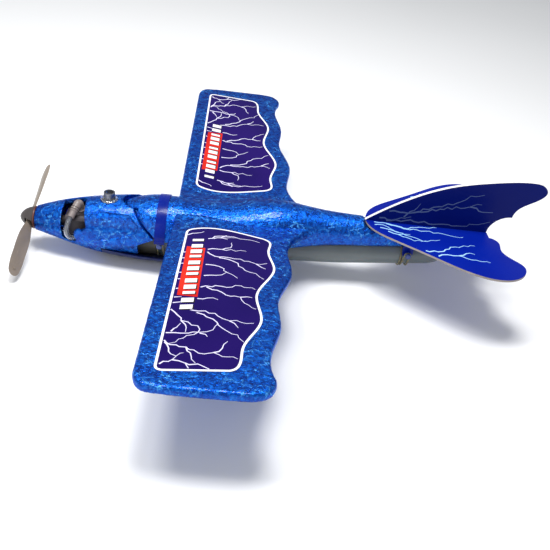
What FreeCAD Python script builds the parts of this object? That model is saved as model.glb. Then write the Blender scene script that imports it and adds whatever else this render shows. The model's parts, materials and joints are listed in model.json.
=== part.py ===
import FreeCAD, Part
import math
import os

# Foam free-flight plane with a small compressed-air piston motor in the nose.
# Rigging datum: x = 0 at the wing's leading edge, y = 0 on the centre plane, z = 0 at the wing's
# upper face on the centre line.  +X runs aft, +Y to starboard, +Z up.  Everything is modelled from
# that datum and moved once, at export, so that the finished part stands on z = 0.

V = FreeCAD.Vector
X, Y, Z = V(1, 0, 0), V(0, 1, 0), V(0, 0, 1)

# ---- driving dimensions (millimetres, degrees) ----
SPINNER_TIP_X = -126.6
FIN_TIP_X = 301.2
BELLY_Z = -49.6
HALF_SPAN = 231.8
DIHEDRAL = 4.11
WING_THICK = 7.0
WING_EDGE_R = 2.6
TAIL_DIHEDRAL = 2.5
FIN_SHEET = 3.0
TAIL_SHEET = 1.6
TAIL_Z = 8.5
DECAL = 0.25
GAP = 0.3
FIT = 0.05

SHAFT_Z = -23.5
SHAFT_R = 1.5
PROP_X = -118.0
PROP_R = 62.3
PROP_REST = 16.6
SPINNER_R = 9.4
CRANK_THROW = 3.0
ROD_LENGTH = 8.0
CYL_X = -78.3
BORE_R = 3.5
CASE_FRONT = -87.8
CASE_REAR = -72.8
CASE_HALF = 9.5
CASE_ROUND = 11.5
COVER = 1.5
SCREW_AT = 6.9
HEAD_Z = -9.5
BUSH_R = 2.58
PIN_R = 0.7
PIN_Z = SHAFT_Z - CRANK_THROW + ROD_LENGTH
NOZZLE_START = V(CYL_X, -0.5, HEAD_Z + 4.0)
NOZZLE_WAY = V(-0.317, -0.79, -0.556).normalize()
NOZZLE_LENGTH = 14.0
NOZZLE_R = 3.8

COWL_WALL = 4.2
SPIGOT_WALL = 3.0
FACET_REACH = 24.3
FACET_LEAN = 30.0
NOSE_X = -113.0
STRAP_X = -8.0
STRAP_WIDTH = 8.4
STRAP_THICK = 0.7
NOSE_PLATE = 1.5
FRONT_PEG_Z = -22.0
REAR_PEG_Z = -13.0

TANK_R = 12.0
TANK_TAIL_R = 8.9
TANK_WALL = 0.9
TANK_Z = -32.4
TANK_RISE = 3.69
TANK_END = 229.0
CAP_FRONT = -36.0
CAP_REAR = -12.5
NECK_R = 9.0
NIPPLE_Z = (-4.0, 5.0)

VALVE_X = -53.0
VALVE_Z = 2.0
VALVE_BASE = VALVE_Z - 4.0

TUBE_R = 1.5
TUBE_BORE = 0.8
FEED_R = 2.1
FEED_BORE = 1.2
ROUTE_GAP = 0.4
HOSE_FIT = 0.02
BAND_R = 0.7

TO_ROW = V(-(SPINNER_TIP_X + FIN_TIP_X) / 2, 0, -BELLY_Z)

# Body of revolution of the nose and forward fuselage: station, centre height, radius.
FORWARD_STATIONS = [
    (-113.0, -23.4, 10.2),
    (-100.0, -22.6, 14.3),
    (-80.0, -22.5, 19.7),
    (-60.0, -22.6, 23.7),
    (-40.0, -22.3, 26.3),
    (-20.0, -21.8, 27.6),
    (10.0, -21.6, 28.0),
]
# Fuselage stations: x, half width, height of the widest line, top, bottom.
FUSELAGE_STATIONS = [
    (-50.0, 25.2, -22.5, 2.5, -27.0),
    (-22.0, 27.5, -21.7, 5.8, -27.0),
    (6.0, 28.0, -20.2, 6.4, -27.0),
    (34.0, 27.2, -16.5, 6.4, -26.5),
    (62.0, 26.3, -9.5, 11.2, -24.2),
    (90.0, 22.3, -5.2, 14.2, -19.8),
    (118.0, 16.6, -4.2, 11.5, -15.4),
    (146.0, 14.0, -3.5, 9.8, -12.6),
    (174.0, 12.0, -2.6, 9.0, -11.2),
    (202.0, 10.0, -1.6, 7.4, -8.8),
    (226.0, 7.4, -1.0, 5.2, -6.6),
]
KEEL_FLAT_Z = -18.0


# ---- helpers ----
def box(x0, x1, y0, y1, z0, z1):
    return Part.makeBox(x1 - x0, y1 - y0, z1 - z0, V(x0, y0, z0))


def rod(start, axis, radius, length):
    return Part.makeCylinder(radius, length, V(*start), axis)


def pipe(start, axis, outer, inner, length):
    return rod(start, axis, outer, length).cut(rod(start, axis, inner, length))


def turned(profile, start, axis):
    """Solid of revolution from (distance along axis, radius) pairs, closed on the axis."""
    points = [V(profile[0][0], 0, 0)] + [V(a, r, 0) for a, r in profile] + [V(profile[-1][0], 0, 0)]
    face = Part.Face(Part.makePolygon(points + [points[0]]))
    solid = face.revolve(V(0, 0, 0), X, 360)
    solid.Placement = FreeCAD.Placement(V(*start), FreeCAD.Rotation(X, axis))
    return solid


def mirrored(shape):
    return shape.mirror(V(0, 0, 0), Y)


def fused(shapes):
    return shapes[0].multiFuse(shapes[1:]).removeSplitter() if len(shapes) > 1 else shapes[0]


def tilted(shape, angle):
    out = shape.copy()
    out.rotate(V(0, 0, 0), X, angle)
    return out


def on_tank(shape):
    """Moves a shape modelled about the X axis onto the tank's rising centre line."""
    out = shape.copy()
    out.rotate(V(0, 0, 0), Y, -TANK_RISE)
    out.translate(V(0, 0, TANK_Z))
    return out


def tank_centre(x):
    return TANK_Z + x * math.tan(math.radians(TANK_RISE))


def curve_through(points):
    spline = Part.BSplineCurve()
    spline.interpolate([V(*p) for p in points])
    return spline.toShape()


def outline_face(runs):
    """Face from runs of points: a run of two is a line, a longer run is one smooth curve."""
    edges = []
    for run in runs:
        ends = [V(*p) for p in run]
        edges.append(Part.makeLine(ends[0], ends[1]) if len(run) == 2 else curve_through(run))
    return Part.Face(Part.Wire(edges))


def rounded_route(points, radii):
    """Straight runs joined by tangent arcs: a list of (start, end) and (start, centre, axis, degrees)."""
    corners = [V(*p) for p in points]
    parts = []
    here = corners[0]
    for i in range(1, len(corners) - 1):
        arriving = (corners[i] - corners[i - 1]).normalize()
        leaving = (corners[i + 1] - corners[i]).normalize()
        turn = arriving.getAngle(leaving)
        setback = radii[i - 1] * math.tan(turn / 2)
        start = corners[i] - arriving * setback
        end = corners[i] + leaving * setback
        axis = arriving.cross(leaving).normalize()
        centre = start + axis.cross(arriving) * radii[i - 1]
        parts.append((here, start))
        parts.append((start, centre, axis, math.degrees(turn)))
        here = end
    parts.append((here, corners[-1]))
    return parts


def ring_face(point, direction, outer, inner):
    rim = Part.Wire(Part.Circle(point, direction, outer).toShape())
    if inner == 0:
        return Part.Face(rim)
    return Part.Face(rim).cut(Part.Face(Part.Wire(Part.Circle(point, direction, inner).toShape())))


def along_route(route, outer, inner):
    """Round bar or pipe along the runs and arcs of rounded_route, and its centre line's length."""
    pieces = []
    length = 0.0
    for part in route:
        if len(part) == 2:
            run = part[1] - part[0]
            pieces.append(ring_face(part[0], run, outer, inner).extrude(run))
            length += run.Length
        else:
            start, centre, axis, degrees = part
            heading = axis.cross(start - centre)
            pieces.append(ring_face(start, heading, outer, inner).revolve(centre, axis, degrees))
            length += (start - centre).Length * math.radians(degrees)
    return fused(pieces), length


# ---- foam body ----
def forward_body(grow):
    """Nose and forward body of revolution, grown outwards by the given amount."""
    wires = []
    for x, z, r in FORWARD_STATIONS:
        wires.append(Part.Wire(Part.Circle(V(x, 0, z), X, r + grow).toShape()))
    return Part.makeLoft(wires, True, False)


def fuselage_section(x, half, mid, top, bottom, grow):
    """Closed section: half-ellipse above the widest line, steep sides and a flat keel below it."""
    half, top, bottom = half + grow, top + grow, bottom - grow
    rim = [(math.cos(math.radians(a)), math.sin(math.radians(a))) for a in range(0, 181, 30)]
    points = [V(x, half * c, mid + (top - mid) * s) for c, s in rim]
    for share, drop in ((-0.97, 0.5), (-0.82, 0.94), (-0.4, 1.0), (0.4, 1.0), (0.82, 0.94), (0.97, 0.5)):
        points.append(V(x, half * share, mid + (bottom - mid) * drop))
    loop = Part.BSplineCurve()
    loop.interpolate(Points=points, PeriodicFlag=True)
    return Part.Wire(loop.toShape())


def body_envelope(grow):
    return Part.makeLoft([fuselage_section(*row, grow) for row in FUSELAGE_STATIONS], True, False)


def seam_prism(shift):
    """Everything aft of the slanted seam between cowl and fuselage, moved aft by shift."""
    seam = [(-33.5, 20), (-33.5, 4), (-24.0, -7), (-12.8, -17), (-12.8, -60)]
    prism = side_prism([(x + shift, z) for x, z in seam] + [(320, -60), (320, 20)])
    tip, half = -41.5 + shift, 11.0 - shift * 0.5
    tongue = box(tip + half, 0, -half, half, -6, 20).fuse(rod((tip + half, 0, -6), Z, half, 26))
    return prism.fuse(tongue)


def make_nose_cowl():
    """Hollow foam nose with the motor window, the cheek panels and the cut-back lower corners."""
    shell = forward_body(0).cut(forward_body(-COWL_WALL))
    shell = shell.cut(seam_prism(0)).cut(rear_corner()).cut(belly_prism(0)).cut(motor_window())
    shell = shell.cut(rod((VALVE_X, 0, -12), Z, 3.9, 20)).cut(rod((VALVE_X, 0, VALVE_Z - 1.05), Z, 7.4, 9))
    shell = shell.cut(rod((NOSE_X, 0, SHAFT_Z), X, SPINNER_R + FIT, NOSE_PLATE))
    clear = on_tank(rod((-60, 0, 0), X, TANK_R + 0.6, 90))
    shell = shell.cut(clear).cut(along_route(feed_route(), FEED_R + ROUTE_GAP, 0)[0])
    for side in (-1, 1):
        shell = shell.cut(lower_facet(side))
    return shell


def side_prism(side):
    """Everything inside a side outline of (x, z) corners, right across the body."""
    corners = [V(x, -40, z) for x, z in side]
    return Part.Face(Part.makePolygon(corners + [corners[0]])).extrude(V(0, 80, 0))


def rear_corner():
    """What the cowl leaves open behind its slanted lower edge, beside the tank's cap."""
    return side_prism([(-12.8, -17), (-25.7, -23.5), (-25.7, -60), (20, -60), (20, -17)])


def belly_prism(gap):
    """Where the belly tray sits, less a gap along its upper and front edges."""
    front = -56.5 + gap
    return side_prism([(front, -34 - gap), (-28, -36.8 - gap), (20, -38.5 - gap), (20, -60), (front, -60)])


def motor_window():
    """Crescent opening over the top and port side of the nose, for the cylinder and its tube."""
    runs = [
        [(-86.5, 0, 6), (-71.3, 0, 6)],
        [(-71.3, 0, 6), (-71.0, 0, -6), (-68.5, 0, -15.5)],
        [(-68.5, 0, -15.5), (-70.8, 0, -18.4), (-76.0, 0, -19.4)],
        [(-76.0, 0, -19.4), (-78.6, 0, -25.0), (-77.5, 0, -31.0), (-83.5, 0, -32.6), (-89.0, 0, -26.5)],
        [(-89.0, 0, -26.5), (-90.0, 0, -14.0), (-86.5, 0, 6)],
    ]
    return outline_face(runs).extrude(V(0, 34.5, 0)).translated(V(0, -30, 0))


def lower_facet(side):
    """Wedge that flattens the lower rear flank of the cowl, deeper towards the tank's cap."""
    wedge = box(-64, -20, FACET_REACH, 50, -25, 25)
    wedge.rotate(V(0, 0, 0), X, -FACET_LEAN)
    wedge.translate(V(0, 0, FORWARD_STATIONS[4][1]))
    return wedge if side > 0 else mirrored(wedge)


def make_spigot():
    """Foam collar on the front of the fuselage that plugs into the back of the cowl."""
    outside = -COWL_WALL - GAP
    collar = forward_body(outside).cut(forward_body(outside - SPIGOT_WALL))
    return collar.common(seam_prism(-5.5)).common(box(-60, -2, -40, 40, KEEL_FLAT_Z + 1, 20))


def make_fuselage(envelope):
    """Foam fuselage: flat-bottomed forward, with the tank's channel and the wing spar's slot."""
    body = envelope.common(seam_prism(2.6)).fuse(make_spigot())
    body = body.cut(box(-60, 60, -40, 40, -60, KEEL_FLAT_Z))
    body = body.cut(on_tank(tank_outer(1.8)))
    body = body.cut(box(158.2, 240, -20, 20, TAIL_Z - TAIL_SHEET - 2.0, 30))
    for side in (-1, 1):
        body = body.cut(spar_bar(side, 0.1))
    return body


# ---- wing ----
def wing_plan():
    """Wing plan for the starboard side, from the centre line to the rounded tip."""
    return [
        [(2.2, 0, 0), (0.3, 215, 0)],
        [(0.3, 215, 0), (1.4, 223.0, 0), (5.5, 229.2, 0), (13, 231.2, 0), (42, HALF_SPAN, 0),
         (70, 231.0, 0), (79, 228.6, 0), (84.2, 222.5, 0), (85.2, 214, 0)],
        [(85.2, 214, 0), (82.6, 185.5, 0), (88.3, 157.5, 0), (86.8, 126.5, 0), (97, 85, 0), (94.3, 53, 0),
         (99.5, 34, 0), (109, 22, 0), (124, 14, 0)],
        [(124, 14, 0), (124, 0, 0)],
        [(124, 0, 0), (2.2, 0, 0)],
    ]


def spar_bar(side, grow):
    """One leg of the flat wing spar, from the centre line out into the panel."""
    bar = box(30 - grow, 42 + grow, -0.2, 120 + grow, -4.6 - grow, -2.6 + grow)
    bar = tilted(bar, DIHEDRAL)
    return bar if side > 0 else mirrored(bar)


def make_wing(side, envelope):
    """One foam wing panel, rounded all round its edge and shaped to the fuselage at its root."""
    plate = outline_face(wing_plan()).extrude(V(0, 0, -WING_THICK))
    rims = [e for e in plate.Edges if abs(e.BoundBox.ZLength) < 1e-6 and e.BoundBox.YMax > 30]
    panel = tilted(plate.makeFillet(WING_EDGE_R, rims), DIHEDRAL)
    panel = panel if side > 0 else mirrored(panel)
    return panel.cut(envelope).cut(box(-5, 130, -12, 12, -30, 30)).cut(spar_bar(side, 0.1))


def make_spar():
    return spar_bar(1, 0).fuse(spar_bar(-1, 0)).removeSplitter()


def make_wing_decal(side):
    """Printed film on a panel's upper face, with a wavy rear edge."""
    runs = [
        [(20, 33.9, 0), (31, 30.4, 0), (56, 33.4, 0), (74, 39, 0)],
        [(74, 39, 0), (80.8, 45.5, 0), (79.8, 58, 0), (84.1, 85.5, 0), (72, 124.5, 0), (75.5, 156, 0),
         (64.5, 188, 0), (63.6, 202, 0), (61.4, 208.6, 0), (57, 211.9, 0)],
        [(57, 211.9, 0), (17.2, 217.0, 0)],
        [(17.2, 217.0, 0), (13.4, 215.7, 0), (12.1, 211.5, 0)],
        [(12.1, 211.5, 0), (14.0, 44.5, 0)],
        [(14.0, 44.5, 0), (15.6, 37.3, 0), (20, 33.9, 0)],
    ]
    film = tilted(outline_face(runs).extrude(V(0, 0, DECAL)), DIHEDRAL)
    return film if side > 0 else mirrored(film)


# ---- tail ----
def make_fin():
    """Upright swept tail fin with a forked, scalloped trailing edge."""
    runs = [
        [(158.5, 0, TAIL_Z), (184.3, 0, 27.0), (221.3, 0, 45.7), (259.9, 0, 55.1), (287.7, 0, 58.2),
         (297.5, 0, 56.0), (FIN_TIP_X, 0, 51.0), (296.5, 0, 43.8), (285.0, 0, 36.0), (279.1, 0, 25.1)],
        [(279.1, 0, 25.1), (270.5, 0, 22.8), (264.5, 0, 17.5), (261.6, 0, TAIL_Z)],
        [(261.6, 0, TAIL_Z), (250, 0, TAIL_Z - TAIL_SHEET)],
        [(250, 0, TAIL_Z - TAIL_SHEET), (164, 0, TAIL_Z - TAIL_SHEET)],
        [(164, 0, TAIL_Z - TAIL_SHEET), (158.5, 0, TAIL_Z)],
    ]
    return outline_face(runs).extrude(V(0, FIN_SHEET, 0)).translated(V(0, -FIN_SHEET / 2, 0))


def make_stabilizer(side):
    """One half of the tailplane, swept like the fin and lying level with its root."""
    root = FIN_SHEET / 2 + 0.1
    runs = [
        [(159, root, 0), (163.5, 15.2, 0), (183, 33.4, 0), (208, 52, 0), (238, 72.6, 0), (252, 77, 0),
         (266, 75.2, 0), (277, 66.2, 0), (280.3, 54, 0), (271.5, 41, 0), (267.2, 31, 0), (268.6, 20, 0),
         (264.5, 11.5, 0)],
        [(264.5, 11.5, 0), (262, 10.5, 0)],
        [(262, 10.5, 0), (262, root, 0)],
        [(262, root, 0), (159, root, 0)],
    ]
    sheet = outline_face(runs).extrude(V(0, 0, -TAIL_SHEET))
    sheet = tilted(sheet, TAIL_DIHEDRAL).translated(V(0, 0, TAIL_Z))
    return sheet if side > 0 else mirrored(sheet)


def make_tail_mount():
    """Clip that straddles the fuselage, carries the tail sheets and ends in two strap lugs."""
    top = TAIL_Z - TAIL_SHEET - 0.3
    plate = box(164, 250, -9, 9, top - 1.5, top)
    plate = plate.cut(tilted(box(150, 260, 0, 20, 0, 5), TAIL_DIHEDRAL).translated(V(0, 0, top)))
    lugs = []
    for side in (-1, 1):
        arm = box(193, 202, 11.4, 12.8, -13, top - 1.5).fuse(box(193, 202, 8, 12.8, top - 1.5, top))
        tip = rod((197.5, 11.4, -13), Y, 4.5, 1.4)
        arm = arm.fuse(tip)
        lugs.append(arm if side > 0 else mirrored(arm))
    return fused([plate] + lugs)


# ---- straps, pegs and bands ----
def make_front_strap():
    """Glossy band over the fuselage, hooked under its lower edges and ending in two lugs."""
    half = STRAP_WIDTH / 2
    grown = body_envelope(STRAP_THICK).cut(body_envelope(FIT))
    band = grown.common(box(STRAP_X - half, STRAP_X + half, -40, 40, -17.5, 20))
    hooks = []
    for side in (-1, 1):
        shelf = box(STRAP_X - half, STRAP_X + half, 20.6, 29.0, -19.3, KEEL_FLAT_Z - 0.1)
        flank = box(STRAP_X - half, STRAP_X + half, 28.4, 29.0, -19.3, -16.6)
        lug = box(STRAP_X - 3, STRAP_X + 3, 20.6, 22.0, FRONT_PEG_Z, -19.3)
        lug = lug.fuse(rod((STRAP_X, 20.6, FRONT_PEG_Z), Y, 3.0, 1.4))
        hook = shelf.fuse([flank, lug])
        hooks.append(hook if side > 0 else mirrored(hook))
    return fused([band] + hooks)


def peg(x, y, z, length, head):
    """Turned peg pointing to starboard: stem through the lug and a domed head."""
    profile = [(0, 1.2), (length, 1.2), (length, head), (length + 0.9, head), (length + 1.7, head * 0.6)]
    return turned(profile, (x, y, z), Y)


def peg_pair(x, y, z, length, head):
    one = peg(x, y, z, length, head)
    return Part.makeCompound([one, mirrored(one)])


def make_spare_band():
    """A single turn of rubber band round the tank, ahead of the rear lugs."""
    x = 193.0
    ring = Part.makeTorus(TANK_TAIL_R + BAND_R + 1.35, BAND_R, V(x, 0, 0), X)
    return ring.translated(V(0, 0, tank_centre(x)))


def band_loop(x, peg_y, peg_z, radius):
    """Rubber band hooked on two pegs and drawn under the tank: one closed round-section loop."""
    centre_z = tank_centre(x)
    reach = math.hypot(peg_y, peg_z - centre_z)
    lean = math.atan2(peg_z - centre_z, peg_y) - math.acos(radius / reach)
    touch = V(0, radius * math.cos(lean), centre_z + radius * math.sin(lean))
    pull = (V(0, peg_y, peg_z) - touch).normalize()
    eye = 2.4
    pieces = []
    for side in (-1, 1):
        top = V(x - eye, side * peg_y, peg_z)
        down = V(x - eye, side * touch.y, touch.z)
        run = down - top
        pieces.append(ring_face(top, run, BAND_R, 0).extrude(run))
        pieces.append(ring_face(top, run, BAND_R, 0).extrude(run).translated(V(2 * eye, 0, 0)))
        axis = X.cross(V(0, side * pull.y, pull.z))
        pieces.append(ring_face(top, run, BAND_R, 0).revolve(V(x, side * peg_y, peg_z), axis, -180))
    sweep = 180 + 2 * math.degrees(lean)
    for shift in (-eye, eye):
        start = V(x + shift, touch.y, touch.z)
        heading = V(0, -math.sin(lean), math.cos(lean))
        pieces.append(ring_face(start, heading, BAND_R, 0).revolve(V(x + shift, 0, centre_z), X, -sweep))
    return fused(pieces)


# ---- tank ----
def tank_outer(grow):
    """Outside of the tank's barrel, lying along the X axis."""
    profile = [(CAP_REAR + 0.6, TANK_R - 1.2 + grow), (CAP_REAR + 2.0, TANK_R + grow), (140, TANK_R + grow),
               (218, TANK_TAIL_R + grow), (225, TANK_TAIL_R - 1.6 + grow), (TANK_END, 4.0 + grow)]
    return turned(profile, (0, 0, 0), X)


def make_tank():
    """Thin-walled bottle with a neck at the front and a domed, tapering tail."""
    outside = tank_outer(0).fuse(rod((-29.5, 0, 0), X, NECK_R, 20))
    hollow = [(CAP_REAR + 1.6, NECK_R - TANK_WALL), (CAP_REAR + 3.0, TANK_R - TANK_WALL),
              (140, TANK_R - TANK_WALL), (217.5, TANK_TAIL_R - TANK_WALL),
              (224, TANK_TAIL_R - 1.6 - TANK_WALL), (TANK_END - TANK_WALL, 3.0)]
    inside = turned(hollow, (0, 0, 0), X).fuse(rod((-30, 0, 0), X, NECK_R - TANK_WALL, 20))
    return on_tank(outside.cut(inside))


def make_tank_cap():
    """Screw cap over the tank's neck, with the hose nipples on its front face."""
    cup = rod((CAP_FRONT, 0, 0), X, TANK_R, CAP_REAR - CAP_FRONT)
    cup = cup.cut(rod((-30.5, 0, 0), X, NECK_R + FIT, 20))
    for z, outer, bore in zip(NIPPLE_Z, (FEED_R, TUBE_R), (FEED_BORE, TUBE_BORE)):
        cup = cup.fuse(rod((CAP_FRONT - 5, 0, z), X, outer + 1.0, 5.5))
        cup = cup.cut(rod((CAP_FRONT - 5, 0, z), X, bore, 12))
        cup = cup.cut(rod((CAP_FRONT - 5, 0, z), X, outer + HOSE_FIT, 4.0))
    return on_tank(cup)


def make_tank_seal():
    return on_tank(pipe((-30.4, 0, 0), X, 8.9, 6.6, 0.8))


# ---- motor ----
def screw_places():
    return [(y, SHAFT_Z + z) for y in (-SCREW_AT, SCREW_AT) for z in (-SCREW_AT, SCREW_AT)]


def make_crankcase():
    """Moulded block around the crank, with the long front bearing tube."""
    block = box(CASE_FRONT, CASE_REAR, -CASE_HALF, CASE_HALF, SHAFT_Z - CASE_HALF, SHAFT_Z + CASE_HALF)
    block = block.fuse(rod((NOSE_X + 1.6, 0, SHAFT_Z), X, 4.2, CASE_FRONT - NOSE_X))
    block = block.cut(rod((CASE_FRONT + 1.2, 0, SHAFT_Z), X, 8.2, 20))
    block = block.cut(rod((NOSE_X, 0, SHAFT_Z), X, 2.6, 4.6))
    block = block.cut(rod((NOSE_X, 0, SHAFT_Z), X, 2.0, 30))
    block = block.cut(rod((CASE_FRONT - 3.0, 0, SHAFT_Z), X, 2.6, 5))
    block = block.cut(rod((CYL_X, 0, SHAFT_Z), Z, 4.6, 20))
    for y, z in screw_places():
        block = block.cut(rod((CASE_REAR - 8, y, z), X, 0.75, 10))
    block = block.cut(rod(NOZZLE_START, NOZZLE_WAY, NOZZLE_R + GAP, 16))
    block = block.common(rod((NOSE_X, 0, SHAFT_Z), X, CASE_ROUND, 60))
    return block.common(forward_body(-COWL_WALL - GAP))


def make_case_cover():
    """Rear plate that closes the crank chamber."""
    low, high = SHAFT_Z - CASE_HALF, SHAFT_Z + CASE_HALF
    plate = box(CASE_REAR, CASE_REAR + COVER, -CASE_HALF, CASE_HALF, low, high)
    for y, z in screw_places():
        plate = plate.cut(rod((CASE_REAR - 1, y, z), X, 0.85, 6))
    return plate.common(rod((NOSE_X, 0, SHAFT_Z), X, CASE_ROUND, 60))


def make_case_screws():
    """Four pan-head screws through the cover into the block."""
    profile = [(0, 0.7), (8.5, 0.7), (8.5, 1.5), (9.3, 1.5), (9.6, 1.0)]
    return Part.makeCompound([turned(profile, (CASE_REAR - 7, y, z), X) for y, z in screw_places()])


def make_front_bush():
    return pipe((NOSE_X + 1.6, 0, SHAFT_Z), X, BUSH_R, SHAFT_R + FIT, 3.0)


def make_rear_bush():
    return pipe((CASE_FRONT - 3.0, 0, SHAFT_Z), X, BUSH_R, SHAFT_R + FIT, 4.0)


def make_barrel():
    """Finned cylinder barrel standing in the block."""
    low = SHAFT_Z + 6.0
    sleeve = rod((CYL_X, 0, low), Z, 4.55, HEAD_Z - low)
    for i in range(3):
        sleeve = sleeve.fuse(rod((CYL_X, 0, SHAFT_Z + 9.6 + i * 1.4), Z, 5.7, 0.7))
    return sleeve.cut(rod((CYL_X, 0, low - 1), Z, BORE_R, 20))


def make_cylinder_head():
    """Ribbed head that tapers to its top, with the valve chamber and a slanted ribbed nozzle."""
    profile = [(0, 4.5), (1.2, 4.5), (1.2, 3.9), (1.9, 3.9), (1.9, 4.3), (3.1, 4.2), (3.1, 3.6),
               (3.8, 3.6), (3.8, 4.0), (4.8, 3.6), (5.9, 2.6)]
    ribs = [(0, 3.6), (4.4, 3.6), (4.4, 3.0), (5.2, 3.0), (5.2, NOZZLE_R), (6.4, NOZZLE_R), (6.4, 3.0),
            (7.2, 3.0), (7.2, 3.6), (8.4, 3.5), (8.4, 3.0), (NOZZLE_LENGTH, 2.8)]
    nozzle = turned(ribs, NOZZLE_START, NOZZLE_WAY).cut(rod((CYL_X, 0, HEAD_Z - 20), Z, 5.8, 20))
    head = turned(profile, (CYL_X, 0, HEAD_Z), Z).fuse(nozzle)
    head = head.cut(rod((CYL_X, 0, HEAD_Z - 1), Z, 0.8, 3))
    head = head.cut(rod((CYL_X, 0, HEAD_Z + 1.2), Z, 1.5, 4.0))
    head = head.cut(rod(NOZZLE_START, NOZZLE_WAY, FEED_BORE, 20))
    return head.cut(rod(nozzle_point(NOZZLE_LENGTH - 3.0), NOZZLE_WAY, FEED_R + HOSE_FIT, 8))


def nozzle_point(distance):
    return NOZZLE_START + NOZZLE_WAY * distance


def make_valve_ball():
    return Part.makeSphere(1.2, V(CYL_X, 0, HEAD_Z + 2.12))


def make_valve_spring():
    """Light spring that holds the ball on its seat, drawn as a thin sleeve."""
    return pipe((CYL_X, 0, HEAD_Z + 3.34), Z, 1.1, 0.7, 1.84)


def make_crankshaft():
    """Shaft and crank disc in one."""
    shaft = rod((PROP_X - 6.0, 0, SHAFT_Z), X, SHAFT_R, CASE_FRONT + 1.6 - PROP_X + 6.0)
    return shaft.fuse(rod((CASE_FRONT + 1.5, 0, SHAFT_Z), X, 5.5, 2.0)).removeSplitter()


def make_crank_pin():
    return rod((CASE_FRONT + 3.5, 0, SHAFT_Z - CRANK_THROW), X, 0.8, CYL_X - 3.7 - CASE_FRONT - 3.5)


def make_piston():
    """Short piston at the bottom of its stroke, slotted for the rod."""
    body = rod((CYL_X, 0, PIN_Z - 2.0), Z, BORE_R - FIT, 4.5)
    body = body.fuse(rod((CYL_X, 0, PIN_Z + 2.5), Z, 0.6, 0.9))
    body = body.cut(box(CYL_X - 1.8, CYL_X + 1.8, -5, 5, PIN_Z - 3, PIN_Z + 1.7))
    body = body.cut(rod((CYL_X - 5, 0, PIN_Z), X, PIN_R, 10))
    return body.cut(pipe((CYL_X, 0, PIN_Z + 1.5), Z, 5, BORE_R - 0.6, 0.7))


def make_piston_seal():
    return pipe((CYL_X, 0, PIN_Z + 1.55), Z, BORE_R - 0.02, BORE_R - 0.6, 0.6)


def make_wrist_pin():
    return rod((CYL_X - 3.2, 0, PIN_Z), X, PIN_R, 6.4)


def make_connecting_rod():
    """Rod with an eye at each end; the lower eye faces the crank pin."""
    low = SHAFT_Z - CRANK_THROW
    upper = pipe((CYL_X - 1.5, 0, PIN_Z), X, 1.5, PIN_R + FIT, 3.0)
    lower = pipe((CYL_X - 3.4, 0, low), X, 1.7, 0.85, 4.9)
    shank = box(CYL_X - 0.8, CYL_X + 0.8, -0.7, 0.7, low + 1.4, PIN_Z - 1.2)
    return upper.fuse([lower, shank]).removeSplitter()


def make_motor_frame():
    """Bulkhead behind the motor, two rails and the ring that holds the tank's cap."""
    x0 = CASE_REAR + 4.5
    plate = rod((x0, 0, -22.5), X, 14.8, 2.2)
    plate = plate.cut(along_route(feed_route(), FEED_R + ROUTE_GAP, 0)[0])
    spacer = box(CASE_REAR + COVER, x0 + 0.5, -5.2, 5.2, -29, -15)
    rails = [box(x0 + 2, -32, y, y + 2.4, -28, -22.5) for y in (-14.8, 12.4)]
    ring = on_tank(pipe((-35, 0, 0), X, 14.2, TANK_R + 0.15, 3.0)).cut(box(-40, -28, -20, 20, -60, -41))
    cross = box(-56, -51, -13, 13, -28, -26)
    return fused([plate, spacer, ring, cross] + rails)


def make_nose_plate():
    """Thrust plate that closes the front of the cowl."""
    return pipe((NOSE_X, 0, SHAFT_Z), X, SPINNER_R, 2.0, NOSE_PLATE)


def make_thrust_washer():
    return pipe((NOSE_X - 0.6, 0, SHAFT_Z), X, 3.2, SHAFT_R + FIT, 0.5)


# ---- propeller ----
def blade_section(radius, chord, pitch, thick):
    """Lens-shaped blade section at one radius, pitched about the blade's own axis (+Y)."""
    half = chord / 2
    nose, tail = V(0, radius, -half), V(0, radius, half)
    upper = V(-thick, radius, 0)
    under = V(thick * 0.25, radius, 0)
    wire = Part.Wire([Part.Arc(nose, upper, tail).toShape(), Part.Arc(tail, under, nose).toShape()])
    wire.rotate(V(0, radius, 0), Y, pitch)
    return wire


def make_propeller():
    """Two-bladed moulded propeller on a bored hub, in its rest position."""
    stations = [(4, 5.6, 36, 1.6), (12, 9.0, 33, 1.4), (21, 12.4, 33, 1.2), (33, 13.2, 35, 1.05),
                (45, 12.5, 38, 0.9), (53, 11.5, 40, 0.8), (58.4, 9.8, 40, 0.65), (61.2, 6.8, 40, 0.55),
                (PROP_R, 3.6, 40, 0.45)]
    blade = Part.makeLoft([blade_section(*row) for row in stations], True, False)
    other = blade.copy()
    other.rotate(V(0, 0, 0), X, 180)
    stud = rod((-1.1, 0, 0), X, 1.3, 1.6)
    stud.rotate(V(0, 0, 0), Y, 40)
    stud.translate(V(0, -56, 0))
    hub = rod((-3, 0, 0), X, 4.6, 6.0)
    prop = fused([hub, blade, other, stud]).cut(rod((-8, 0, 0), X, SHAFT_R, 20))
    prop.rotate(V(0, 0, 0), X, PROP_REST)
    return prop.translated(V(PROP_X, 0, SHAFT_Z))


def make_spinner_base():
    """Round back plate behind the propeller."""
    return pipe((PROP_X + 3.05, 0, SHAFT_Z), X, SPINNER_R, SHAFT_R, NOSE_X - 0.7 - PROP_X - 3.05)


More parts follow.
